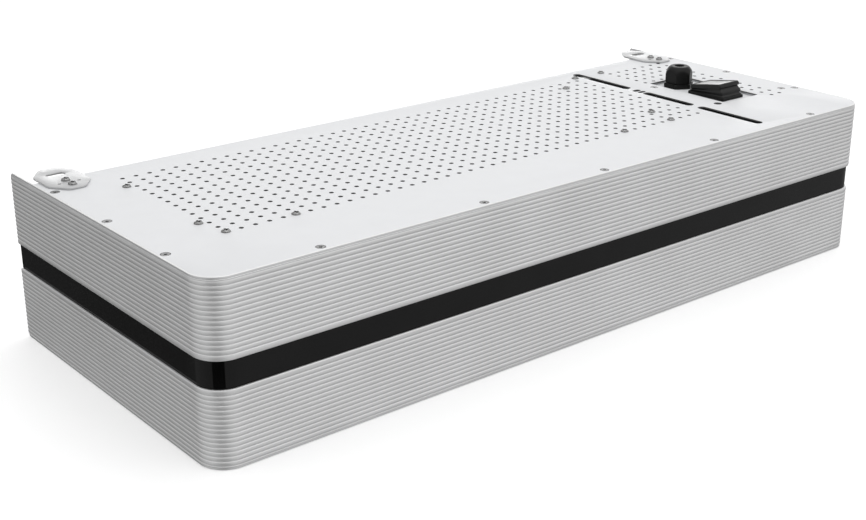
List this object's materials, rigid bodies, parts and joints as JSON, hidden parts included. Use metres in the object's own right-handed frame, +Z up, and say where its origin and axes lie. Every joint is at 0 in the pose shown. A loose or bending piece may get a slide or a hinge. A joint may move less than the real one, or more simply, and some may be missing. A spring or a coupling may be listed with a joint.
{
  "type": "wall battery unit",
  "caption": "Long ribbed aluminium battery case with a gloss band, perforated cover plate, cable gland, rocker switch and two rear wall brackets.",
  "frame": {"origin": "centre of the case's outline at the level of its underside", "axes": "+X along the long front from the battery end to the cable end, +Y from the front towards the wall, +Z up through the perforated cover plate"},
  "size_m": [0.9, 0.3784, 0.2018],
  "materials": {
    "ribbed_aluminium": "satin anodised, horizontally ribbed",
    "gloss_black": "high gloss",
    "white_coat": "fine satin powder coat",
    "zinc_steel": "zinc-plated sheet",
    "satin_steel": "satin stainless sheet",
    "screw_steel": "bright zinc plate",
    "black_nylon": "moulded satin",
    "black_rubber": "soft moulded",
    "copper": "bare strip",
    "module_case": "film-wrapped cells",
    "circuit_board": "lacquered board",
    "grey_plastic": "moulded satin"
  },
  "bodies": {
    "case": {"upper_ribbed_wrap": "ribbed_aluminium", "lower_ribbed_wrap": "ribbed_aluminium", "heat_sink": "ribbed_aluminium", "gloss_band": "gloss_black", "top_plate": "white_coat", "bottom_plate": "white_coat", "connection_tray": "white_coat", "rear_panel": "zinc_steel", "left_bulkhead": "zinc_steel", "right_bulkhead": "zinc_steel", "module_clamp_rail": "zinc_steel", "electronics_bracket": "zinc_steel", "rocker_pin": "zinc_steel", "left_wall_bracket": "satin_steel", "right_wall_bracket": "satin_steel", "gland_body": "black_nylon", "gland_lock_nut": "black_nylon", "switch_bezel": "black_nylon", "gland_seal": "black_rubber", "switch_bellows": "black_rubber", "switch_terminals": "copper", "busbar_1": "copper", "busbar_2": "copper", "battery_module_1": "module_case", "battery_module_2": "module_case", "battery_module_3": "module_case", "battery_monitor_board": "circuit_board", "power_board": "circuit_board", "mains_terminal_block": "grey_plastic", "left_edge_screw_1": "screw_steel", "left_edge_screw_2": "screw_steel", "left_edge_screw_3": "screw_steel", "front_edge_screw_1": "screw_steel", "front_edge_screw_2": "screw_steel", "front_edge_screw_3": "screw_steel", "front_edge_screw_4": "screw_steel", "front_edge_screw_5": "screw_steel", "right_edge_screw_1": "screw_steel", "right_edge_screw_2": "screw_steel", "right_edge_screw_3": "screw_steel", "tray_screw_1": "screw_steel", "tray_screw_2": "screw_steel", "tray_screw_3": "screw_steel", "left_bulkhead_screw_1": "screw_steel", "left_bulkhead_screw_2": "screw_steel", "rail_screw_1": "screw_steel", "rail_screw_2": "screw_steel", "rail_screw_3": "screw_steel", "rail_screw_4": "screw_steel", "right_bulkhead_screw_1": "screw_steel", "right_bulkhead_screw_2": "screw_steel", "bracket_board_screw_1": "screw_steel", "bracket_board_screw_2": "screw_steel", "left_bracket_screw_1": "screw_steel", "left_bracket_screw_2": "screw_steel", "right_bracket_screw_1": "screw_steel", "right_bracket_screw_2": "screw_steel"},
    "rocker": {"switch_rocker": "black_rubber"},
    "gland_ring": {"gland_slip_ring": "black_nylon"},
    "gland_nut": {"gland_dome_nut": "black_nylon"}
  },
  "joints": [
    {"name": "rocker_tilt", "type": "hinge", "parent": "case", "child": "rocker", "pos_m": [0.3492, -0.046, 0.1778], "axis": [1, 0, 0], "range_deg": [0, 20], "deforming": ["switch_bellows"]},
    {"name": "gland_ring_lift", "type": "slide", "parent": "case", "child": "gland_ring", "axis": [0, 0, 1], "range_m": [0, 0.0046]},
    {"name": "gland_nut_turn", "type": "hinge", "parent": "gland_ring", "child": "gland_nut", "pos_m": [0.3467, 0.0112, 0.19], "axis": [0, 0, 1], "range_deg": [0, 1080]}
  ],
  "couplings": [
    {"joint": "gland_ring_lift", "follows": "gland_nut_turn", "m_per_rad": 0.00023873}
  ]
}
